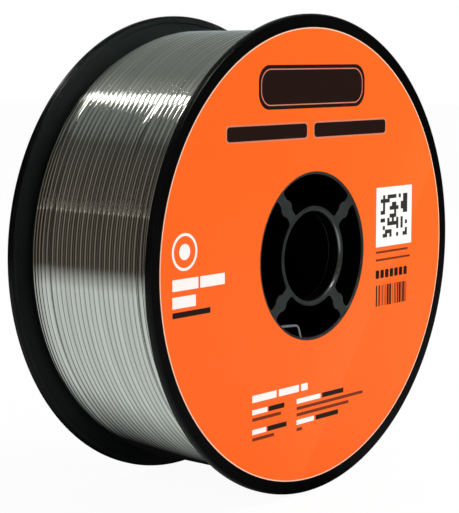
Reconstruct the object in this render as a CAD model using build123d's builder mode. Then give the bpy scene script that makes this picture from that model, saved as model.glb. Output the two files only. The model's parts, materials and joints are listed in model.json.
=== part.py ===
from build123d import *
from math import hypot
import os

os.makedirs("parts", exist_ok=True)

# Flanges of the moulded spool
flange_diameter = 270.0
overall_width = 106.0
flange_thickness = 3.2
rim_bead_thickness = 4.0
rim_bead_width = 4.0
rim_edge_chamfer = 0.8

# Barrel that carries the wire, and the height of the flanges above it
flange_height = 53.0
barrel_wall = 3.0

# Central opening in each flange and the wall behind it
opening_diameter = 92.0
opening_wall = 3.0
opening_lip_chamfer = 1.4

# Hub tube that runs on the spindle
bore_diameter = 50.5
bore_land_length = 8.5
bore_relief = 1.5
bore_mouth_chamfer = 0.8
hub_tube_diameter = 56.5
hub_setback = 0.5

# Ribs between the hub tube and the wall of the opening, each with a round boss at its middle
rib_count = 4
rib_width = 6.4
rib_turn = 40.0
rib_boss_diameter = 9.6
rib_blend_radius = 2.4
rib_blend_limit = 0.6
rib_core_width = 3.2
rib_front_wall = 3.0

# Webs between the wall of the opening and the barrel
web_count = 8
web_thickness = 2.2

# Arched guard on the wall of the opening, where the inner end of the wire comes in
guard_turn = -115.5
guard_centre_inset = 2.7
guard_radius = 9.0
guard_wall = 1.4
guard_depth = 12.0

# Face label in its shallow recess, with a bare border at the rim and at the opening
label_rim_border = 7.5
label_opening_border = 1.7
label_thickness = 0.25
label_recess_depth = 0.3
label_clearance = 0.15

# Wire wound between the flanges, to a depth below their rims, with slack turns sunk beside the rear flange
rim_above_wire = 9.0
slack_turns_width = 13.0
slack_turns_depth = 4.2
winding_edge_chamfer = 2.0
winding_side_clearance = 0.3
winding_seat_clearance = 0.1

# Sizes that follow from those above
half_width = overall_width / 2
rim_radius = flange_diameter / 2
barrel_radius = rim_radius - flange_height
opening_radius = opening_diameter / 2
hub_tube_radius = hub_tube_diameter / 2
bore_radius = bore_diameter / 2
hub_front = half_width - hub_setback
flange_back = half_width - flange_thickness
bead_back = half_width - rim_bead_thickness
recess_floor = half_width - label_recess_depth
label_outer_radius = rim_radius - label_rim_border
label_inner_radius = opening_radius + label_opening_border
recess_outer_radius = label_outer_radius + label_clearance
recess_inner_radius = label_inner_radius - label_clearance
winding_radius = rim_radius - rim_above_wire
chamber_inner_radius = opening_radius + opening_wall
chamber_outer_radius = barrel_radius - barrel_wall
guard_centre_radius = opening_radius + guard_centre_inset

# The two halves meet on the joint plane, and its normal points to the labelled side
joint_plane = Plane.XZ
spool_axis = Axis(joint_plane.origin, joint_plane.z_dir)
section_plane = Plane(origin=joint_plane.origin, x_dir=joint_plane.x_dir, z_dir=-joint_plane.y_dir)


def from_centre(vertex):
    """Distance of a sketch's corner from the spool axis."""
    return hypot(vertex.X, vertex.Y)


# Label-side half: flange, half of the barrel, wall of the opening, ribs and half of the hub tube
with BuildPart() as front_half:
    # Turned section of the flange, the barrel and the wall of the opening
    with BuildSketch(section_plane) as flange_section:
        with BuildLine():
            Polyline(
                (opening_radius, 0),
                (opening_radius, half_width),
                (recess_inner_radius, half_width),
                (recess_inner_radius, recess_floor),
                (recess_outer_radius, recess_floor),
                (recess_outer_radius, half_width),
                (rim_radius, half_width),
                (rim_radius, bead_back),
                (rim_radius - rim_bead_width, bead_back),
                (rim_radius - rim_bead_width, flange_back),
                (barrel_radius, flange_back),
                (barrel_radius, 0),
                (chamber_outer_radius, 0),
                (chamber_outer_radius, flange_back),
                (chamber_inner_radius, flange_back),
                (chamber_inner_radius, 0),
                close=True,
            )
        make_face()
        corners = flange_section.vertices()
        chamfer(corners.group_by(Axis.X)[-1], rim_edge_chamfer)
        lip_corner = flange_section.vertices().group_by(Axis.X)[0].sort_by(Axis.Y)[-1]
        chamfer(lip_corner, opening_lip_chamfer)
    revolve(axis=spool_axis)

    # Hub disc, later opened by the bore and the pockets between the ribs
    with BuildSketch(joint_plane):
        Circle(opening_radius + opening_wall / 2)
        Circle(bore_radius, mode=Mode.SUBTRACT)
    extrude(amount=hub_front)

    # Pockets between the ribs, blended into the tube and the wall as far as the ribs' bosses leave room
    rib_middle = (opening_radius + hub_tube_radius) / 2
    rib_length_beside_boss = (opening_radius - hub_tube_radius - rib_boss_diameter) / 2
    with BuildSketch(joint_plane) as pockets:
        Circle(opening_radius)
        Circle(hub_tube_radius, mode=Mode.SUBTRACT)
        with PolarLocations(rib_middle, rib_count, start_angle=rib_turn):
            Rectangle(opening_radius, rib_width, mode=Mode.SUBTRACT)
            Circle(rib_boss_diameter / 2, mode=Mode.SUBTRACT)
        at_tube = pockets.vertices().filter_by(lambda v: from_centre(v) < hub_tube_radius + 0.1)
        at_wall = pockets.vertices().filter_by(lambda v: from_centre(v) > opening_radius - 0.1)
        fillet(at_tube + at_wall, min(rib_blend_radius, rib_blend_limit * rib_length_beside_boss))
    extrude(amount=hub_front, mode=Mode.SUBTRACT)

    # Ribs cored from the joint, so that their walls are about as thick as the rest
    core_length = opening_radius - hub_tube_radius - opening_wall
    with BuildSketch(joint_plane):
        with PolarLocations(rib_middle, rib_count, start_angle=rib_turn):
            Rectangle(core_length, rib_core_width)
    extrude(amount=hub_front - rib_front_wall, mode=Mode.SUBTRACT)

    # Bore: a bearing land at the mouth and a wider relief behind it
    with BuildSketch(joint_plane):
        Circle(bore_radius + bore_relief)
    extrude(amount=hub_front - bore_land_length, mode=Mode.SUBTRACT)
    mouth = front_half.edges().filter_by(GeomType.CIRCLE).filter_by(
        lambda e: abs(e.radius - bore_radius) < 0.01
    )
    chamfer(mouth.sort_by(spool_axis)[-1], bore_mouth_chamfer)

    # Webs that carry the barrel on the wall of the opening
    with BuildSketch(joint_plane):
        web_length = chamber_outer_radius - chamber_inner_radius + barrel_wall / 2 + opening_wall / 2
        with PolarLocations((chamber_outer_radius + chamber_inner_radius) / 2, web_count, start_angle=rib_turn):
            Rectangle(web_length, web_thickness)
    extrude(amount=flange_back)

    # Arched guard, open towards the wall that it stands on
    with BuildSketch(joint_plane.offset(hub_front - guard_depth)) as guard:
        with PolarLocations(guard_centre_radius, 1, start_angle=guard_turn):
            Circle(guard_radius)
            Circle(guard_radius - guard_wall, mode=Mode.SUBTRACT)
        Circle(opening_radius + opening_wall / 2, mode=Mode.INTERSECT)
    extrude(amount=guard_depth)
front_half.part.label = "front_half"
export_step(front_half.part, "parts/front_half.step")

# Second half: the same moulding turned over about the line of a rib, so that the ribs line up
turning_line = Axis(joint_plane.origin, joint_plane.x_dir.rotate(spool_axis, rib_turn))
with BuildPart() as rear_half:
    add(front_half.part.rotate(turning_line, 180))
rear_half.part.label = "rear_half"
export_step(rear_half.part, "parts/rear_half.step")

# Wound wire, one turned solid on the barrel
with BuildPart() as wire_winding:
    with BuildSketch(section_plane) as winding_section:
        winding_back = flange_back - winding_side_clearance
        with BuildLine():
            Polyline(
                (barrel_radius + winding_seat_clearance, -winding_back),
                (barrel_radius + winding_seat_clearance, winding_back),
                (winding_radius, winding_back),
                (winding_radius, slack_turns_width - winding_back),
                (winding_radius - slack_turns_depth, -winding_back),
                close=True,
            )
        make_face()
        front_edge = winding_section.vertices().group_by(Axis.X)[-1].sort_by(Axis.Y)[-1]
        chamfer(front_edge, winding_edge_chamfer)
    revolve(axis=spool_axis)
wire_winding.part.label = "wire_winding"
export_step(wire_winding.part, "parts/wire_winding.step")

# Printed label stuck on the floor of the recess
with BuildPart() as face_label:
    with BuildSketch(joint_plane.offset(recess_floor)):
        Circle(label_outer_radius)
        Circle(label_inner_radius, mode=Mode.SUBTRACT)
    extrude(amount=label_thickness)
face_label.part.label = "face_label"
export_step(face_label.part, "parts/face_label.step")
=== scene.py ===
import json
import math
import random

import bmesh
import bpy
from mathutils import Matrix, Vector, noise


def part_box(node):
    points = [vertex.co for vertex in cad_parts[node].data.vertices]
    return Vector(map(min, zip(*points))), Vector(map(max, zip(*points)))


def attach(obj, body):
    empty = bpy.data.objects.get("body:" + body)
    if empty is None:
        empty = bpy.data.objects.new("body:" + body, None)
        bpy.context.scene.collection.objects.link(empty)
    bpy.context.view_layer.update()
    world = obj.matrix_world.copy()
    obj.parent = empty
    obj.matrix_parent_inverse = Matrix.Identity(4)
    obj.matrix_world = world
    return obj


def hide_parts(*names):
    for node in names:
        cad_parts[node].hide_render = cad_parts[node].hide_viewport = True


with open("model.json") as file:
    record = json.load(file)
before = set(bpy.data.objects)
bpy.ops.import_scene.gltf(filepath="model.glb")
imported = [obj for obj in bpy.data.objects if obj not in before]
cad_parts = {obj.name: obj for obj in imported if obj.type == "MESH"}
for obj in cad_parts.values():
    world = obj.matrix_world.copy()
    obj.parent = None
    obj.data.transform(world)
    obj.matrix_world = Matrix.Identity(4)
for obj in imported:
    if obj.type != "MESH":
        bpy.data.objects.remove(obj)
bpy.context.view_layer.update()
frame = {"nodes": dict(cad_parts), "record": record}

# Moulded halves of the spool
# Each is one injection moulding of black polystyrene: a flange, half of the barrel and a ribbed hub. The two
# are alike and joined at mid width under the wire. The rim and the bore's mouth are polished.

half_low, half_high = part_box("front_half")
label_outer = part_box("face_label")[1].z
label_inner = 0.0477
spindle_bore = next(m for m in frame["record"]["mounts"] if m["name"] == "spindle_bore")

rim_radius = half_high.z
half_width = -half_low.y
rim_bead_width = 0.004
rim_bead_thickness = 0.004
rim_rounding = 0.0011
bead_rounding = 0.0004
bead_root_rounding = 0.0003
flange_thickness = 0.0032
flange_back = half_width - flange_thickness
barrel_radius = 0.082
barrel_wall = 0.003
barrel_root_rounding = 0.002
opening_radius = 0.046
opening_wall = 0.003
lip_rounding = 0.0014
recess_depth = 0.0003
recess_rounding = 0.0002
label_clearance = 0.00015
recess_outer = label_outer + label_clearance
recess_inner = label_inner - label_clearance

hub_front = half_width - 0.0005
hub_tube_radius = 0.02825
hub_edge_rounding = 0.0005
hub_edge_steps = 4
bore_radius = spindle_bore["dims"]["r_mm"] / 1000
bore_land = 0.0085
bore_step_rounding = 0.0004
bore_relief = 0.0015
bore_lead_in = 0.0007
bore_lead_depth = 0.0014
bore_lead_rounding = 0.0005
bore_mouth_rounding = 0.0003
land_overlap = 0.0008
polish_reach = 0.0003
rib_count = 4
rib_width = 0.0064
rib_turn = math.radians(40)
rib_middle = (opening_radius + hub_tube_radius) / 2
rib_boss_radius = 0.0048
rib_boss_blend = 0.0012
rib_blend_radius = 0.0024
blend_steps = 4
boss_steps = 12
flare_steps = 8
wall_steps = 20
root_steps = 6
tube_steps = 16

guard_wall = 0.0014
guard_depth = 0.012
guard_edge_rounding = 0.4 * guard_wall
guard_outline = (
    (-0.0295, -0.0361, 0),
    (-0.0125, -0.0372, 0.0030),
    (-0.0092, -0.0468, 0),
    (-0.0092 - guard_wall, -0.0468, 0),
    (-0.0125 - guard_wall * 0.8, -0.0372 - guard_wall, 0.0016),
    (-0.0295, -0.0361 - guard_wall, 0),
)

flange_steps = 256
bore_steps = 128
fine_arc_steps = 6
merge_distance = 1e-6
closing_distance = 1e-5
sharp_angle = math.radians(38)
front = Vector((0, -1, 0))


def round_corners(bm, verts, corners, arc_steps):
    """Round the corners of a flat outline by the third value of each corner."""
    for vert, corner in zip(verts, corners):
        if corner[2]:
            bmesh.ops.bevel(bm, geom=[vert], offset=corner[2], offset_type="OFFSET", segments=arc_steps,
                            profile=0.5, affect="VERTICES", material=-1)


def turn_section(bm, corners, steps, arc_steps=4):
    """Turn a closed section about the spool axis.

    Each corner has a radius, a distance from the joint and a rounding.
    """
    verts = [bm.verts.new((radius, -depth, 0)) for radius, depth, rounding in corners]
    bm.faces.new(verts)
    round_corners(bm, verts, corners, arc_steps)
    bmesh.ops.delete(bm, geom=bm.faces[:], context="FACES_ONLY")
    bmesh.ops.spin(bm, geom=bm.verts[:] + bm.edges[:], cent=(0, 0, 0), axis=front, dvec=(0, 0, 0),
                   angle=math.tau, steps=steps, use_merge=True, use_normal_flip=False, use_duplicate=False)
    bmesh.ops.remove_doubles(bm, verts=bm.verts[:], dist=merge_distance)
    bmesh.ops.recalc_face_normals(bm, faces=bm.faces[:])


def on_face(radius, angle, depth):
    """A point by its radius, its angle seen from the label side and its distance from the joint."""
    return Vector((radius * math.cos(angle), -depth, radius * math.sin(angle)))


def carry_on(bm, vert, centre, turn, steps):
    """Lengthen an outline from its last vertex by an arc, and return the new last vertex."""
    spun = bmesh.ops.spin(bm, geom=[vert], cent=centre, axis=front, dvec=(0, 0, 0), angle=turn, steps=steps,
                          use_merge=False, use_normal_flip=False, use_duplicate=False)
    return next(g for g in spun["geom_last"] if isinstance(g, bmesh.types.BMVert))


def pocket_outline(bm, outer):
    """Outline of the pocket between two ribs, on the joint.

    It runs past the boss of the first rib, along the wall of the opening, past the boss of the second rib and
    back along the hub tube.
    """
    half_rib = rib_width / 2
    root_reach = hub_tube_radius + rib_blend_radius
    root_angle = math.asin((half_rib + rib_blend_radius) / root_reach)
    flare_reach = outer - rib_blend_radius
    flare_angle = math.asin((half_rib + rib_blend_radius) / flare_reach)
    boss_reach = rib_boss_radius + rib_boss_blend
    boss_angle = math.asin((half_rib + rib_boss_blend) / boss_reach)
    blend_offset = boss_reach * math.cos(boss_angle)
    quarter = math.tau / rib_count
    axis_point = on_face(0, 0, 0)

    def by_rib(along, off, second):
        return Vector((off, 0, along)) if second else Vector((along, 0, off))

    def pass_boss(last, second):
        near, far = rib_middle - blend_offset, rib_middle + blend_offset
        if second:
            near, far = far, near
        begin = bm.verts.new(by_rib(near, half_rib, second))
        bm.edges.new((last, begin))
        blend_turn = math.pi / 2 - boss_angle
        blend_off = half_rib + rib_boss_blend
        last = carry_on(bm, begin, by_rib(near, blend_off, second), blend_turn, blend_steps)
        last = carry_on(bm, last, by_rib(rib_middle, 0, second), 2 * boss_angle - math.pi, boss_steps)
        return carry_on(bm, last, by_rib(far, blend_off, second), blend_turn, blend_steps)

    start = bm.verts.new(by_rib(root_reach * math.cos(root_angle), half_rib, False))
    last = pass_boss(start, False)
    flare_start = bm.verts.new(by_rib(flare_reach * math.cos(flare_angle), half_rib, False))
    bm.edges.new((last, flare_start))
    flare_turn = math.pi / 2 + flare_angle
    last = carry_on(bm, flare_start, on_face(flare_reach, flare_angle, 0), flare_turn, flare_steps)
    last = carry_on(bm, last, axis_point, quarter - 2 * flare_angle, wall_steps)
    last = carry_on(bm, last, on_face(flare_reach, quarter - flare_angle, 0), flare_turn, flare_steps)
    last = pass_boss(last, True)
    root_start = bm.verts.new(by_rib(root_reach * math.cos(root_angle), half_rib, True))
    bm.edges.new((last, root_start))
    root_turn = math.pi / 2 - root_angle
    last = carry_on(bm, root_start, on_face(root_reach, quarter - root_angle, 0), root_turn, root_steps)
    last = carry_on(bm, last, axis_point, 2 * root_angle - quarter, tube_steps)
    last = carry_on(bm, last, on_face(root_reach, root_angle, 0), root_turn, root_steps)
    bmesh.ops.remove_doubles(bm, verts=[last, start], dist=closing_distance)


def hub_body(bm):
    """Ribs and hub tube as one block with its pockets, the wide part of the bore and rounded front edges."""
    pocket_outline(bm, opening_radius + opening_wall / 6)
    bmesh.ops.spin(bm, geom=bm.verts[:] + bm.edges[:], cent=(0, 0, 0), axis=front, dvec=(0, 0, 0),
                   angle=math.tau * (rib_count - 1) / rib_count, steps=rib_count - 1, use_merge=False,
                   use_normal_flip=False, use_duplicate=True)
    for radius in (opening_radius + opening_wall / 2, bore_radius + bore_relief):
        bmesh.ops.create_circle(bm, segments=bore_steps, radius=radius,
                                matrix=Matrix.Rotation(math.pi / 2, 4, "X"))
    bmesh.ops.triangle_fill(bm, edges=bm.edges[:], normal=front, use_beauty=True)
    bmesh.ops.recalc_face_normals(bm, faces=bm.faces[:])
    grown = bmesh.ops.extrude_face_region(bm, geom=bm.faces[:], use_keep_orig=True)["geom"]
    top = [g for g in grown if isinstance(g, bmesh.types.BMFace)]
    bmesh.ops.translate(bm, verts=[g for g in grown if isinstance(g, bmesh.types.BMVert)],
                        vec=front * (hub_front - hub_edge_rounding))
    bmesh.ops.recalc_face_normals(bm, faces=bm.faces[:])
    for k in range(hub_edge_steps):
        before = math.radians(90 * k / hub_edge_steps)
        after = math.radians(90 * (k + 1) / hub_edge_steps)
        bmesh.ops.inset_region(bm, faces=top, use_boundary=True, use_even_offset=True,
                               thickness=hub_edge_rounding * (math.cos(before) - math.cos(after)),
                               depth=hub_edge_rounding * (math.sin(after) - math.sin(before)))
    bmesh.ops.rotate(bm, verts=bm.verts[:], cent=(0, 0, 0), matrix=Matrix.Rotation(rib_turn, 3, front))


def bearing_land(bm):
    """Narrow part of the bore at its mouth, which runs on the spindle."""
    land_back = hub_front - bore_land
    land_outer = bore_radius + bore_relief + land_overlap
    turn_section(bm, (
        (bore_radius, land_back, bore_step_rounding),
        (bore_radius, hub_front - bore_lead_depth, bore_lead_rounding),
        (bore_radius + bore_lead_in, hub_front, bore_mouth_rounding),
        (land_outer, hub_front, 0),
        (land_outer, land_back, 0),
    ), bore_steps, fine_arc_steps)


def guard_body(bm):
    """Small bent wall on the wall of the opening, with rounded corners and a rounded front edge."""
    guard_back = guard_depth - hub_front
    verts = [bm.verts.new((across, guard_back, height)) for across, height, rounding in guard_outline]
    bm.faces.new(verts)
    round_corners(bm, verts, guard_outline, fine_arc_steps)
    grown = bmesh.ops.extrude_face_region(bm, geom=bm.faces[:], use_keep_orig=True)["geom"]
    bmesh.ops.translate(bm, verts=[g for g in grown if isinstance(g, bmesh.types.BMVert)],
                        vec=front * guard_depth)
    bmesh.ops.recalc_face_normals(bm, faces=bm.faces[:])
    front_edges = [e for g in grown if isinstance(g, bmesh.types.BMFace) for e in g.edges]
    bmesh.ops.bevel(bm, geom=front_edges, offset=guard_edge_rounding, offset_type="OFFSET", segments=3,
                    profile=0.5, affect="EDGES", material=-1)


def new_piece(name, bm, materials):
    """Finish a mesh as an object at the origin with its materials."""
    mesh = bpy.data.meshes.new(name)
    bm.to_mesh(mesh)
    bm.free()
    for material in materials:
        mesh.materials.append(material)
    piece = bpy.data.objects.new(name, mesh)
    bpy.context.scene.collection.objects.link(piece)
    return piece


def feed(tree, made, inputs):
    """Feed the inputs of a shader node with values or sockets."""
    for key, value in inputs.items():
        if isinstance(value, bpy.types.NodeSocket):
            tree.links.new(value, made.inputs[key])
        else:
            made.inputs[key].default_value = value


def node(tree, kind, inputs, output=0, **options):
    """Add a shader node, set its options, feed its inputs, and return one of its outputs."""
    made = tree.nodes.new("ShaderNode" + kind)
    for option, value in options.items():
        setattr(made, option, value)
    feed(tree, made, inputs)
    return made.outputs[output]


def ramp(tree, value, start, end, low=0.0, high=1.0):
    """Map a value between two ends to a number that runs from low to high, and is held outside the ends."""
    return node(tree, "MapRange",
                {"Value": value, "From Min": start, "From Max": end, "To Min": low, "To Max": high})


def blend(tree, share, first, second):
    """Mix two colours by a share from 0 to 1. Sockets 6 and 7 of the mix node are its colours."""
    return node(tree, "Mix", {0: share, 6: first, 7: second}, output=2, data_type="RGBA")


def paint(red, green, blue):
    """A colour with full cover."""
    return red, green, blue, 1


def new_material(name, **surface):
    """A material with a Principled shader whose constant sockets are set, and the shader itself."""
    material = bpy.data.materials.new(name)
    material.use_nodes = True
    tree = material.node_tree
    tree.nodes.clear()
    shader = tree.nodes.new("ShaderNodeBsdfPrincipled")
    for socket, value in surface.items():
        shader.inputs[socket.replace("_", " ")].default_value = value
    out = tree.nodes.new("ShaderNodeOutputMaterial")
    tree.links.new(shader.outputs[0], out.inputs[0])
    return material, tree, shader


def black_plastic(name, dark, pale, gloss, grain_scale, grain_depth, specular, ior=1.59):
    """Black polystyrene: two close tones in soft clouds, a fine grain and a slightly uneven gloss."""
    material, tree, shader = new_material(name, IOR=ior, Specular_IOR_Level=specular)
    place = node(tree, "TexCoord", {}, output="Object")
    clouds = node(tree, "TexNoise", {"Vector": place, "Scale": 35.0, "Detail": 3.0})
    uneven = node(tree, "TexNoise", {"Vector": place, "Scale": 90.0, "Detail": 4.0})
    grain = node(tree, "TexNoise", {"Vector": place, "Scale": grain_scale, "Detail": 2.0})
    feed(tree, shader, {
        "Base Color": blend(tree, ramp(tree, clouds, 0.35, 0.65), paint(*dark), paint(*pale)),
        "Roughness": ramp(tree, uneven, 0.3, 0.7, *gloss),
        "Normal": node(tree, "Bump", {"Strength": grain_depth, "Distance": 0.0002, "Height": grain}),
    })
    return material


matt_black = black_plastic(
    "matt_black", dark=(0.0115, 0.0180, 0.0172), pale=(0.0150, 0.0220, 0.0212),
    gloss=(0.52, 0.62), grain_scale=2600.0, grain_depth=0.25, specular=0.30)
# Near black: the front border's own finish, and painted shade on the walls of the opening, the pockets, the
# bore and the guard.
border_and_shade_black = black_plastic(
    "border_and_shade_black", dark=(0.0008, 0.0009, 0.0009), pale=(0.0014, 0.0015, 0.0015),
    gloss=(0.40, 0.48), grain_scale=900.0, grain_depth=0.04, specular=0.03)
# Painted shade: a darker copy of the matt black for the faces between the flanges, which turn away from the
# front.
shaded_inner_black = black_plastic(
    "shaded_inner_black", dark=(0.0055, 0.0080, 0.0080), pale=(0.0075, 0.0105, 0.0105),
    gloss=(0.52, 0.62), grain_scale=2600.0, grain_depth=0.20, specular=0.20)
rim_black = black_plastic(
    "rim_black", dark=(0.0012, 0.0015, 0.0016), pale=(0.0020, 0.0024, 0.0025),
    gloss=(0.24, 0.32), grain_scale=1200.0, grain_depth=0.06, specular=0.10)
bore_black = black_plastic(
    "bore_black", dark=(0.0045, 0.0052, 0.0052), pale=(0.0065, 0.0072, 0.0072),
    gloss=(0.28, 0.33), grain_scale=1200.0, grain_depth=0.04, specular=1.0, ior=2.2)
# Painted highlight: a pale copy of the black for the guard's front edge and the step in the bore.
painted_highlight_black = black_plastic(
    "painted_highlight_black", dark=(0.10, 0.11, 0.11), pale=(0.20, 0.21, 0.21),
    gloss=(0.30, 0.40), grain_scale=900.0, grain_depth=0.10, specular=0.50)

finishes = (matt_black, border_and_shade_black, shaded_inner_black, rim_black, bore_black, painted_highlight_black)
matt, border_and_shade, shaded_inner, rim, bore, painted_highlight = range(len(finishes))

flange_corners = (
    (opening_radius, 0, 0),
    (opening_radius, half_width, lip_rounding),
    (recess_inner, half_width, 0),
    (recess_inner, half_width - recess_depth, 0),
    (recess_outer, half_width - recess_depth, 0),
    (recess_outer, half_width, recess_rounding),
    (rim_radius, half_width, rim_rounding),
    (rim_radius, half_width - rim_bead_thickness, rim_rounding),
    (rim_radius - rim_bead_width, half_width - rim_bead_thickness, bead_rounding),
    (rim_radius - rim_bead_width, flange_back, bead_root_rounding),
    (barrel_radius, flange_back, barrel_root_rounding),
    (barrel_radius, 0, 0),
    (barrel_radius - barrel_wall, 0, 0),
    (barrel_radius - barrel_wall, flange_back, 0),
    (opening_radius + opening_wall, flange_back, 0),
    (opening_radius + opening_wall, 0, 0),
)


def turned_flange(bm):
    """Flange, barrel and wall of the opening in one turned section."""
    turn_section(bm, flange_corners, flange_steps)


# A face's finish goes by its radius, its distance from the joint and how squarely it faces the front.

squarely = 0.9
partly = 0.3
hardly = 0.1
opening_reach = opening_radius + 0.0001


def flange_finish(radius, depth, frontward):
    """Polished at the rim, near black on the front border, painted shade in the opening, painted shade on the
    faces turned from the front, and matt elsewhere.
    """
    if radius > rim_radius - rim_rounding:
        return rim
    if radius < opening_reach or radius > recess_outer and frontward > squarely:
        return border_and_shade
    return shaded_inner if frontward < hardly else matt


def hub_finish(radius, depth, frontward):
    """Matt to the front, and painted shade on the walls of the pockets."""
    return matt if frontward > partly else border_and_shade


def land_finish(radius, depth, frontward):
    """Paler at the step to the relief as a painted highlight, painted shade in the bore, polished on the
    lead-in, and matt beside it.
    """
    if depth < hub_front - bore_land + bore_step_rounding:
        return painted_highlight
    if depth < hub_front - bore_lead_depth - polish_reach:
        return border_and_shade
    return bore if radius < bore_radius + bore_lead_in else matt


def guard_finish(radius, depth, frontward):
    """Pale on the rounded front edge as a painted highlight, and painted shade elsewhere."""
    return painted_highlight if frontward > partly else border_and_shade


def fused_moulding():
    """Mesh of one half, label side to the front: flange, hub, bearing land and guard fused in one."""
    bodies = []
    for part, build, finish in (("flange", turned_flange, flange_finish), ("hub", hub_body, hub_finish),
                                ("land", bearing_land, land_finish), ("guard", guard_body, guard_finish)):
        bm = bmesh.new()
        build(bm)
        bm.normal_update()
        for face in bm.faces:
            centre = face.calc_center_median()
            frontward = face.normal.dot(front)
            face.material_index = finish(math.hypot(centre.x, centre.z), -centre.y, frontward)
        bodies.append(new_piece(part, bm, finishes))
    for other in bodies[1:]:
        union = bodies[0].modifiers.new("union", "BOOLEAN")
        union.operation = "UNION"
        union.solver = "EXACT"
        union.object = other
    graph = bpy.context.evaluated_depsgraph_get()
    fused = bpy.data.meshes.new_from_object(bodies[0].evaluated_get(graph))
    for body in bodies:
        bpy.data.objects.remove(body)
    fused.shade_smooth()
    fused.set_sharp_from_angle(angle=sharp_angle)
    return fused


def moulded_half(name, mesh, replaced):
    """One half of the spool, in the place of its plain solid."""
    mesh.name = name
    half = bpy.data.objects.new(name, mesh)
    bpy.context.scene.collection.objects.link(half)
    flat_faces = half.modifiers.new("flat_faces", "WEIGHTED_NORMAL")
    flat_faces.keep_sharp = True
    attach(half, "root")
    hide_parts(replaced)


front_mesh = fused_moulding()
rear_mesh = front_mesh.copy()
rear_mesh.transform(Matrix.Rotation(math.pi, 4, on_face(1, rib_turn, 0)))
moulded_half("front_moulding", front_mesh, "front_half")
moulded_half("rear_moulding", rear_mesh, "rear_half")

# Wound wire
# Bright drawn steel wire, wound on the barrel in close turns, layer over layer. The turns beside the rear
# flange have sunk a little, gaps open and close between some others, and two turns are slack.

winding_low, winding_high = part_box("wire_winding")
wire_diameter = 0.00335
wire_pressed_diameter = 0.0038
turn_count = 27
round_steps = 180
wire_sides = 12
under_wire_sides = 8
crown_height = 0.0003
top_radius = winding_high.z - wire_pressed_diameter / 2 + crown_height
flange_gap = 0.0002
turn_span = winding_high.y - winding_low.y - wire_diameter - 2 * flange_gap
nesting = 0.87
layer_rise = wire_diameter * nesting
even_gap = 0.00014
gap_change = 0.00007
gap_pace = 3.1
open_gaps = {
    4: (0.0009, math.radians(195)),
    14: (0.0003, math.radians(150)),
    22: (0.0008, math.radians(200)),
}
gap_spread = 1.1
short_waves = 0.00006
short_pace = 7.0
long_waves = 0.00008
long_pace = 1.7
channel_spacing = 7.3
noise_offset = 0.37
slack_turns = {3: math.radians(135), 18: math.radians(135.5)}
slack_run = math.radians(8)
slack_return = math.radians(18)
rear_sink = 0.0042
rear_sink_width = 0.16
rear_sink_power = 1.6
front_sink = 0.0006
front_sink_width = 0.1


def wander(turns, channel, pace):
    """Smooth random value between about -1 and 1 along the wire."""
    return noise.noise(Vector((turns * pace, channel * channel_spacing, noise_offset)))


def gap_after(turns):
    """Free width between one turn and the next, before it is scaled to fill the spool."""
    width = even_gap + gap_change * wander(turns, 1, gap_pace)
    whole = int(turns)
    if whole in open_gaps:
        extra, middle = open_gaps[whole]
        away = math.remainder((turns - whole) * math.tau - middle, math.tau)
        width += extra * math.exp(-(away / gap_spread) ** 2)
    return width


def lay_of_turns():
    """Place across the spool of each step of the wire, from the rear flange to the front one."""
    loose = sum(gap_after(turn) for turn in range(turn_count))
    ease = (turn_span - turn_count * wire_diameter) / loose
    first_pitch = wire_diameter + gap_after(0) * ease
    places = [first_pitch * step / round_steps for step in range(round_steps + 1)]
    for step in range(1, (turn_count - 1) * round_steps + 1):
        places.append(places[step] + wire_diameter + gap_after(step / round_steps) * ease)
    return places


def radius_of(turns, place):
    """Radius of the wire's middle: the layer's own, less what the turns by the flanges have sunk."""
    across = place / turn_span
    sunk = rear_sink * max(0.0, 1 - across / rear_sink_width) ** rear_sink_power
    sunk += front_sink * max(0.0, (across - 1 + front_sink_width) / front_sink_width)
    radius = top_radius - sunk + short_waves * wander(turns, 2, short_pace)
    radius += long_waves * wander(turns, 3, long_pace)
    whole = int(turns)
    if whole in slack_turns:
        past = (turns - whole) * math.tau - slack_turns[whole]
        if 0 < past < slack_run:
            radius /= math.cos(past)
        elif slack_run <= past < slack_run + slack_return:
            left = 1 - (past - slack_run) / slack_return
            radius *= 1 + (1 / math.cos(slack_run) - 1) * left * left * (3 - 2 * left)
    return radius


def drawn_steel():
    """Bright steel whose tone changes in long streaks from turn to turn, darkened towards the rear flange by
    painted shade.
    """
    material, tree, shader = new_material("bright_wire", Metallic=1.0)
    place = node(tree, "TexCoord", {}, output="Object")
    along = node(tree, "Mapping", {"Vector": place, "Scale": (9.0, 420.0, 9.0)})
    streaks = node(tree, "TexNoise", {"Vector": along, "Scale": 1.0, "Detail": 3.0})
    bare = blend(tree, ramp(tree, streaks, 0.3, 0.7), paint(0.60, 0.605, 0.59), paint(0.76, 0.765, 0.75))
    across = node(tree, "SeparateXYZ", {0: place}, output="Y")
    # Painted shade: the base colour darkens towards the rear flange.
    painted_flange_shade = ramp(tree, across, 0.032, 0.048, 0.0, 0.7)
    dull = node(tree, "TexNoise", {"Vector": place, "Scale": 160.0, "Detail": 3.0})
    scored = node(tree, "Mapping", {"Vector": place, "Scale": (60.0, 9000.0, 60.0)})
    lines = node(tree, "TexNoise", {"Vector": scored, "Scale": 1.0, "Detail": 2.0})
    feed(tree, shader, {
        "Base Color": blend(tree, painted_flange_shade, bare, paint(0.34, 0.33, 0.31)),
        "Roughness": ramp(tree, dull, 0.3, 0.7, 0.05, 0.085),
        "Normal": node(tree, "Bump", {"Strength": 0.010, "Distance": 0.0001, "Height": lines}),
    })
    return material


bright_wire = drawn_steel()


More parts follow.
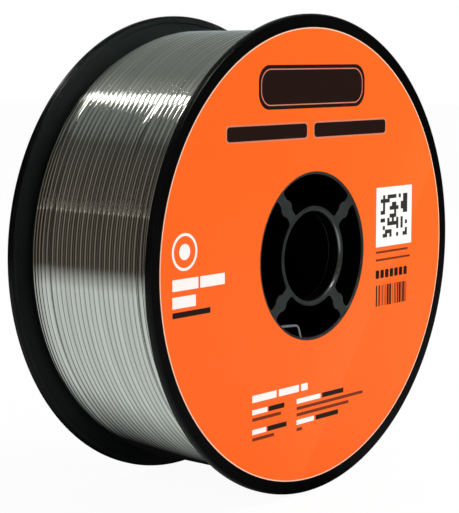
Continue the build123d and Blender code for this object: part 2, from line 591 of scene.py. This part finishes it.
def wound_layer(name, places, sink, sides):
    """One layer of turns: a round section carried round in a helix, then set to its lay step by step."""
    section = bmesh.new()
    bmesh.ops.create_circle(section, segments=sides, radius=wire_pressed_diameter / 2,
                            matrix=Matrix.Translation((top_radius, 0, 0)))
    profile = new_piece(name, section, (bright_wire,))
    turning = profile.modifiers.new("turning", "SCREW")
    turning.axis = "Y"
    turning.angle = -math.tau
    turning.iterations = len(places) // round_steps
    turning.steps = round_steps
    turning.render_steps = round_steps
    graph = bpy.context.evaluated_depsgraph_get()
    wound = bpy.data.meshes.new_from_object(profile.evaluated_get(graph))
    bpy.data.objects.remove(profile)
    bm = bmesh.new()
    bm.from_mesh(wound)
    bpy.data.meshes.remove(wound)
    rear_start = winding_high.y - flange_gap - wire_diameter / 2
    bm.verts.index_update()
    for vert in bm.verts:
        step = vert.index // sides
        turns = step / round_steps
        angle = math.tau * turns
        outward = radius_of(turns, places[step]) - sink - top_radius
        forward = rear_start - places[step]
        vert.co += Vector((outward * math.cos(angle), forward, outward * math.sin(angle)))
    bmesh.ops.holes_fill(bm, edges=[e for e in bm.edges if e.is_boundary], sides=sides)
    bmesh.ops.recalc_face_normals(bm, faces=bm.faces[:])
    layer = new_piece(name, bm, (bright_wire,))
    layer.data.shade_smooth()
    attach(layer, "root")
    return layer


top_places = lay_of_turns()
under_places = [place + wire_diameter / 2 for place in top_places[:-round_steps]]
top_turns = wound_layer("wire_top_turns", top_places, 0, wire_sides)
wound_layer("wire_under_turns", under_places, layer_rise, under_wire_sides)

core_radius = top_radius - 2 * layer_rise
core_edge = winding_high.y
core_seat = barrel_radius + 0.0001
core_foot = 0.002
core_drop = 0.005
core_front_slope = 0.004
core_rear_slope = 0.036
core_steps = 160
core_sharp_angle = math.radians(30)
bm = bmesh.new()
turn_section(bm, (
    (core_seat, -core_edge + core_foot, 0),
    (core_seat, core_edge - core_foot, 0),
    (core_seat + core_foot, core_edge, 0),
    (core_radius - core_drop, core_edge, 0),
    (core_radius, core_edge - core_front_slope, 0),
    (core_radius, core_rear_slope - core_edge, 0),
    (core_radius - core_drop, -core_edge, 0),
    (core_seat + core_foot, -core_edge, 0),
), core_steps)
wound_core = new_piece("wire_inner_layers", bm, (bright_wire,))
wound_core.data.shade_smooth()
wound_core.data.set_sharp_from_angle(angle=core_sharp_angle)
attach(wound_core, "root")
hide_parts("wire_winding")

# Face label
# A ring of coated paper, printed orange to a thin pale edge and stuck in the recess of the front flange. The
# print is plain blocks, bars and cells in white, browns and black, with thin pink lines.

orange = paint(0.985, 0.128, 0.007)
sheen_orange = paint(1.0, 0.142, 0.013)
print_white = paint(0.93, 0.90, 0.86)
print_dark = paint(0.016, 0.006, 0.004)
print_brown = paint(0.18, 0.026, 0.006)
print_pink = paint(0.62, 0.21, 0.13)
print_black = paint(0.03, 0.03, 0.03)
edge_pale = paint(1.0, 0.62, 0.45)
edge_width = 0.0006
band_direction = (0.80, 0, -0.60)
band_start = 0.02
band_end = 0.068

mm = 0.001
cell_size = 2.3 * mm
dark_cell_share = 0.52
cells_left, cells_right = 28 * cell_size, 40 * cell_size
cells_low, cells_high = 2 * cell_size, 13 * cell_size
block_depth = 10 * mm
inside_limit = 0.001 * mm
mark_centre = (-108.5 * mm, 0, 12.2 * mm)
mark_rings = ((9.0 * mm, 0.75 * mm), (0.0, 4.2 * mm))

# Blocks in millimetres: left, right, low, high, ink and corner
heading = (
    (-49, 47, 83, 107, print_dark, 9),
    (-47, 45, 85, 105, print_pink, 8),
    (-46.4, 44.4, 85.6, 104.4, print_dark, 7.6),
    (-76, -6, 66, 75.5, print_pink, 2.6),
    (-75.2, -6.8, 66.8, 74.7, print_dark, 2.2),
    (-1, 69, 66, 75.5, print_pink, 2.6),
    (-0.2, 68.2, 66.8, 74.7, print_dark, 2.2),
)
left_rows = (
    (-118, -98, -7.6, -1.6, print_white, 0.4),
    (-96.5, -77, -7.6, -1.6, print_white, 0.4),
    (-118, -100, -16.6, -10.6, print_white, 0.4),
    (-118, -88.5, -21.6, -18.6, print_dark, 0.3),
)
right_rows = (
    (60, 96.6, -0.6, 34.6, print_white, 0.3),
    (60, 93, -4.4, -3.1, print_brown, 0.3),
    (60, 95.5, -9.0, -7.7, print_brown, 0.3),
)
low_rows = (
    (-54, -33, -75.6, -71.6, print_white, 0.3),
    (-31, -13, -75.6, -71.6, print_white, 0.3),
    (-11, -5, -75.6, -71.6, print_white, 0.3),
    (-54, -41, -82.4, -79.6, print_white, 0.3),
    (-40, -26, -82.4, -79.6, print_dark, 0.3),
    (-54, -29, -86.0, -84.2, print_brown, 0.2),
    (-54, -42, -93.4, -90.6, print_white, 0.3),
    (-41, -24, -93.4, -90.6, print_dark, 0.3),
    (-54, -35, -97.0, -95.2, print_brown, 0.2),
    (-15, 7, -82.4, -79.6, print_white, 0.3),
    (8.5, 29, -82.4, -79.6, print_dark, 0.3),
    (-15, 48, -86.0, -84.2, print_brown, 0.2),
    (-15, 34, -89.6, -87.8, print_brown, 0.2),
    (-15, 1, -94.4, -91.6, print_white, 0.3),
    (2.5, 24, -94.4, -91.6, print_dark, 0.3),
    (-15, -10, -98.0, -96.2, print_brown, 0.2),
)
dash_row = tuple((60 + 4.8 * k, 63.6 + 4.8 * k, -19.4, -14.4, print_dark, 0.8) for k in range(7))


def upright_bars():
    """Row of upright bars of random width below the dashes."""
    bars = []
    chance = random.Random(5)
    left = 60.4
    while left < 92.0:
        width = chance.choice((0.5, 0.9, 1.4, 2.0))
        bars.append((left, left + width, -36.0, -23.5, print_brown if width < 1 else print_dark, 0.05))
        left += width + chance.choice((0.5, 0.8, 1.3))
    return tuple(bars)


def maths(tree, operation, first, second=0.0):
    """One sum on numbers."""
    return node(tree, "Math", {0: first, 1: second}, operation=operation)


def vector_maths(tree, operation, first, second=(0, 0, 0), output="Vector"):
    """One sum on vectors, whose result is a vector, or a number where the output is Value."""
    return node(tree, "VectorMath", {0: first, 1: second}, output=output, operation=operation)


def reach_past(tree, flat, centre, reach):
    """Distance of a place from a box about a centre, 0 inside it."""
    away = vector_maths(tree, "ABSOLUTE", vector_maths(tree, "SUBTRACT", flat, centre))
    past = vector_maths(tree, "MAXIMUM", vector_maths(tree, "SUBTRACT", away, reach))
    return vector_maths(tree, "LENGTH", past, output="Value")


def block_group():
    """Node group that prints one block with rounded corners over a colour."""
    tree = bpy.data.node_groups.new("printed_block", "ShaderNodeTree")
    for name, kind in (("Place", "Vector"), ("Under", "Color"), ("Centre", "Vector"), ("Reach", "Vector"),
                       ("Corner", "Float"), ("Ink", "Color")):
        tree.interface.new_socket(name, in_out="INPUT", socket_type="NodeSocket" + kind)
    tree.interface.new_socket("Printed", in_out="OUTPUT", socket_type="NodeSocketColor")
    given = tree.nodes.new("NodeGroupInput").outputs
    distance = reach_past(tree, given["Place"], given["Centre"], given["Reach"])
    inside = maths(tree, "LESS_THAN", distance, given["Corner"])
    result = tree.nodes.new("NodeGroupOutput")
    tree.links.new(blend(tree, inside, given["Under"], given["Ink"]), result.inputs[0])
    return tree


printed_block = block_group()


def print_block(tree, flat, colour, left, right, low, high, ink, corner):
    """Print a block, given by its sides and corner in metres, over a colour, and return the new colour."""
    made = tree.nodes.new("ShaderNodeGroup")
    made.node_tree = printed_block
    feed(tree, made, {
        "Place": flat,
        "Under": colour,
        "Centre": ((left + right) / 2, 0, (low + high) / 2),
        "Reach": ((right - left) / 2 - corner, block_depth, (high - low) / 2 - corner),
        "Corner": corner,
        "Ink": ink,
    })
    return made.outputs[0]


def printed_label():
    """Coated paper with its print and a paler diagonal band of painted sheen, worked out from the place on
    the flat face.
    """
    material, tree, shader = new_material("printed_label", Roughness=0.42, Specular_IOR_Level=0.09)
    place = node(tree, "TexCoord", {}, output="Object")
    flat = vector_maths(tree, "MULTIPLY", place, (1, 0, 1))
    # Painted sheen: a paler diagonal band of the orange, cut off at its far side.
    slope = vector_maths(tree, "DOT_PRODUCT", flat, band_direction, output="Value")
    in_band = maths(tree, "LESS_THAN", slope, band_end)
    painted_sheen = maths(tree, "MULTIPLY", ramp(tree, slope, band_start, band_end), in_band)
    colour = blend(tree, painted_sheen, orange, sheen_orange)
    blocks = heading + left_rows + right_rows + low_rows + dash_row + upright_bars()
    for left, right, low, high, ink, corner in blocks:
        colour = print_block(tree, flat, colour, left * mm, right * mm, low * mm, high * mm, ink, corner * mm)

    cells = vector_maths(tree, "SNAP", flat, (cell_size, 1, cell_size))
    picked = node(tree, "TexWhiteNoise", {"Vector": cells}, noise_dimensions="3D")
    dark_cell = maths(tree, "LESS_THAN", picked, dark_cell_share)
    outside = reach_past(tree, flat, ((cells_left + cells_right) / 2, 0, (cells_low + cells_high) / 2),
                         ((cells_right - cells_left) / 2, block_depth, (cells_high - cells_low) / 2))
    cell_ink = maths(tree, "MULTIPLY", dark_cell, maths(tree, "LESS_THAN", outside, inside_limit))
    colour = blend(tree, cell_ink, colour, print_black)

    from_mark = vector_maths(tree, "DISTANCE", flat, mark_centre, output="Value")
    for ring_radius, half_line in mark_rings:
        off = maths(tree, "ABSOLUTE", maths(tree, "SUBTRACT", from_mark, ring_radius))
        colour = blend(tree, maths(tree, "LESS_THAN", off, half_line), colour, print_white)

    radius = vector_maths(tree, "LENGTH", flat, output="Value")
    at_edge = maths(tree, "GREATER_THAN", radius, label_outer - edge_width)
    fibres = node(tree, "TexNoise", {"Vector": place, "Scale": 700.0, "Detail": 2.0})
    feed(tree, shader, {
        "Base Color": blend(tree, at_edge, colour, edge_pale),
        "Normal": node(tree, "Bump", {"Strength": 0.04, "Distance": 0.0001, "Height": fibres}),
    })
    return material


face_label = frame["nodes"]["face_label"]
face_label.data.materials.clear()
face_label.data.materials.append(printed_label())

# Floor, surroundings and camera
# The spool stands on its two rims on a pale floor, in even light. Only reflections see the round room about
# it, with dim walls, a pale low part, a grey ceiling, a slanting strip light and a panel at each side.

floor_reach = 6.0
floor_white_share = 0.95
mirrored_floor_start = 0.20
mirrored_floor_end = 0.34
bm = bmesh.new()
bmesh.ops.create_grid(bm, x_segments=8, y_segments=8, size=floor_reach,
                      matrix=Matrix.Translation((0, 0, -rim_radius)))
pale_floor, tree, shader = new_material("pale_floor", Roughness=0.9, Specular_IOR_Level=0.0)
place = node(tree, "TexCoord", {}, output="Object")
clouds = node(tree, "TexNoise", {"Vector": place, "Scale": 2.0, "Detail": 2.0})
feed(tree, shader, {"Base Color": blend(tree, clouds, paint(0.93, 0.93, 0.93), paint(0.95, 0.95, 0.95))})
ray = tree.nodes.new("ShaderNodeLightPath").outputs
seen = maths(tree, "MAXIMUM", ray["Is Camera Ray"], ray["Is Transmission Ray"])
from_spool = vector_maths(tree, "LENGTH", place, output="Value")
open_floor = ramp(tree, from_spool, mirrored_floor_start, mirrored_floor_end)
mirrored = maths(tree, "MULTIPLY", ray["Is Glossy Ray"], open_floor)
seen = maths(tree, "MAXIMUM", seen, mirrored)
paper_white = node(tree, "Emission", {"Color": paint(1, 1, 1), "Strength": 1.0})
white_share = maths(tree, "MULTIPLY", seen, floor_white_share)
mixed = node(tree, "MixShader", {0: white_share, 1: shader.outputs[0], 2: paper_white})
tree.links.new(mixed, tree.get_output_node("ALL").inputs[0])
floor = new_piece("floor", bm, (pale_floor,))

room_radius = 0.45
ceiling_edge = 0.50
ceiling_height = 0.80
room_lift = 0.0004
room_floor = -rim_radius + room_lift
room_steps = 96
bm = bmesh.new()
section_verts = [bm.verts.new(corner) for corner in (
    (0, 0, room_floor), (room_radius, 0, room_floor), (room_radius, 0, ceiling_edge),
    (room_radius, 0, ceiling_height), (0, 0, ceiling_height))]
for low_vert, high_vert in zip(section_verts, section_verts[1:]):
    bm.edges.new((low_vert, high_vert))
bmesh.ops.spin(bm, geom=bm.verts[:] + bm.edges[:], cent=(0, 0, 0), axis=(0, 0, 1), dvec=(0, 0, 0),
               angle=math.tau, steps=room_steps, use_merge=True, use_normal_flip=False, use_duplicate=False)
bmesh.ops.remove_doubles(bm, verts=bm.verts[:], dist=merge_distance)

# Each fade is the pair of places at which it starts and ends.
wall_fade = (0.12, 0.46)
left_panel_fade = (-0.424, -0.446)
right_panel_fade = (0.10, 0.28)
right_panel_rise = (0.12, 0.30)
low_part_fade = (-0.036, -0.104)
shade_slant = 0.5
shade_fade = (0.05, 0.13)
ceiling_fade = (0.47, 0.50)
halo_low_fade = (-0.075, -0.02)
halo_high_fade = (0.02, 0.19)
strip_fade = (0.50, 0.60)
strip_levels = (11.0, 1.6)
strip_end_fade = (-0.12, -0.18)
strip_end_levels = (1.0, 6.0)
strip_tint = (1.0, 1.0, 0.94)
warm_low_wall = paint(0.037, 0.031, 0.023)
grey_high_wall = paint(0.054, 0.057, 0.050)
left_panel = paint(0.215, 0.195, 0.155)
right_panel = paint(0.45, 0.50, 0.51)
shaded_floor = paint(0.004, 0.004, 0.004)
lit_floor = paint(0.665, 0.71, 0.67)
grey_ceiling = paint(0.195, 0.21, 0.19)
strip_halo = paint(0.37, 0.38, 0.345)
strip_slope = (1, 0.05, 0.57)
strip_offset = 0.2045
strip_half_width = 0.020
strip_bottom = 0.30
line_height = 0.140
line_half_width = 0.0016
line_glow = paint(0.95, 0.88, 0.74)

mirrored_room = bpy.data.materials.new("mirrored_room")
mirrored_room.use_nodes = True
tree = mirrored_room.node_tree
tree.nodes.clear()
place = node(tree, "TexCoord", {}, output="Object")
split = tree.nodes.new("ShaderNodeSeparateXYZ")
feed(tree, split, {0: place})
along_x, along_y, height = split.outputs
room = blend(tree, ramp(tree, height, *wall_fade), warm_low_wall, grey_high_wall)
room = blend(tree, ramp(tree, along_x, *left_panel_fade), room, left_panel)
raised = ramp(tree, height, *right_panel_rise)
on_panel = maths(tree, "MULTIPLY", ramp(tree, along_x, *right_panel_fade), raised)
room = blend(tree, on_panel, room, right_panel)
slant = maths(tree, "MULTIPLY", along_y, shade_slant)
beside = maths(tree, "SUBTRACT", maths(tree, "ABSOLUTE", along_x), slant)
low_part = blend(tree, ramp(tree, beside, *shade_fade), shaded_floor, lit_floor)
room = blend(tree, ramp(tree, height, *low_part_fade), room, low_part)
room = blend(tree, ramp(tree, height, *ceiling_fade), room, grey_ceiling)
past_strip = vector_maths(tree, "DOT_PRODUCT", place, strip_slope, output="Value")
past_strip = maths(tree, "SUBTRACT", past_strip, strip_offset)
high_up = maths(tree, "GREATER_THAN", height, strip_bottom)
halo_above = ramp(tree, past_strip, *halo_high_fade, 1.0, 0.0)
halo = maths(tree, "MINIMUM", ramp(tree, past_strip, *halo_low_fade), halo_above)
room = blend(tree, maths(tree, "MULTIPLY", halo, high_up), room, strip_halo)
on_strip = maths(tree, "LESS_THAN", maths(tree, "ABSOLUTE", past_strip), strip_half_width)
by_height = ramp(tree, height, *strip_fade, *strip_levels)
by_end = ramp(tree, along_y, *strip_end_fade, *strip_end_levels)
strip_light = maths(tree, "MULTIPLY", by_height, by_end)
strip_colour = node(tree, "VectorMath", {0: strip_tint, "Scale": strip_light}, operation="SCALE")
room = blend(tree, maths(tree, "MULTIPLY", on_strip, high_up), room, strip_colour)
light_line = node(tree, "Math", {0: height, 1: line_height, 2: line_half_width}, operation="COMPARE")
room = blend(tree, light_line, room, line_glow)
glow = node(tree, "Emission", {"Color": room, "Strength": 1.0})
tree.links.new(glow, tree.nodes.new("ShaderNodeOutputMaterial").inputs[0])
room_shell = new_piece("mirrored_room", bm, (mirrored_room,))
room_shell.visible_camera = False
room_shell.visible_diffuse = False
room_shell.visible_shadow = False

lighting_strength = 0.70
seen_strength = 1.0
world = bpy.data.worlds.new("even_light")
bpy.context.scene.world = world
world.use_nodes = True
tree = world.node_tree
background = tree.nodes["Background"]
ray = tree.nodes.new("ShaderNodeLightPath").outputs
seen = maths(tree, "MAXIMUM", ray["Is Camera Ray"], ray["Is Transmission Ray"])
seen = maths(tree, "MAXIMUM", seen, ray["Is Glossy Ray"])
feed(tree, background, {
    "Color": paint(1, 1, 1),
    "Strength": ramp(tree, seen, 0.0, 1.0, lighting_strength, seen_strength),
})

lamp_data = bpy.data.lights.new("overhead_lamp", "AREA")
lamp_data.shape = "DISK"
lamp_data.size = 0.6
lamp_data.energy = 12.0
overhead_lamp = bpy.data.objects.new("overhead_lamp", lamp_data)
bpy.context.scene.collection.objects.link(overhead_lamp)
overhead_lamp.location = (0.95, -0.48, 0.65)
overhead_lamp.rotation_mode = "QUATERNION"
overhead_lamp.rotation_quaternion = (-overhead_lamp.location).to_track_quat("-Z", "Y")
overhead_lamp.visible_glossy = False

camera_aim = Vector((-0.00505, 0.00508, -0.00442))
camera_data = bpy.data.cameras.new("camera")
camera_data.lens = 116.70
camera_data.sensor_width = 36.0
camera = bpy.data.objects.new("camera", camera_data)
bpy.context.scene.collection.objects.link(camera)
camera.location = Vector((-0.73739, -0.61905, 0.11387))
camera.rotation_mode = "QUATERNION"
camera.rotation_quaternion = (camera_aim - camera.location).to_track_quat("-Z", "Y")
bpy.context.scene.camera = camera
bpy.context.scene.view_settings.view_transform = "Standard"
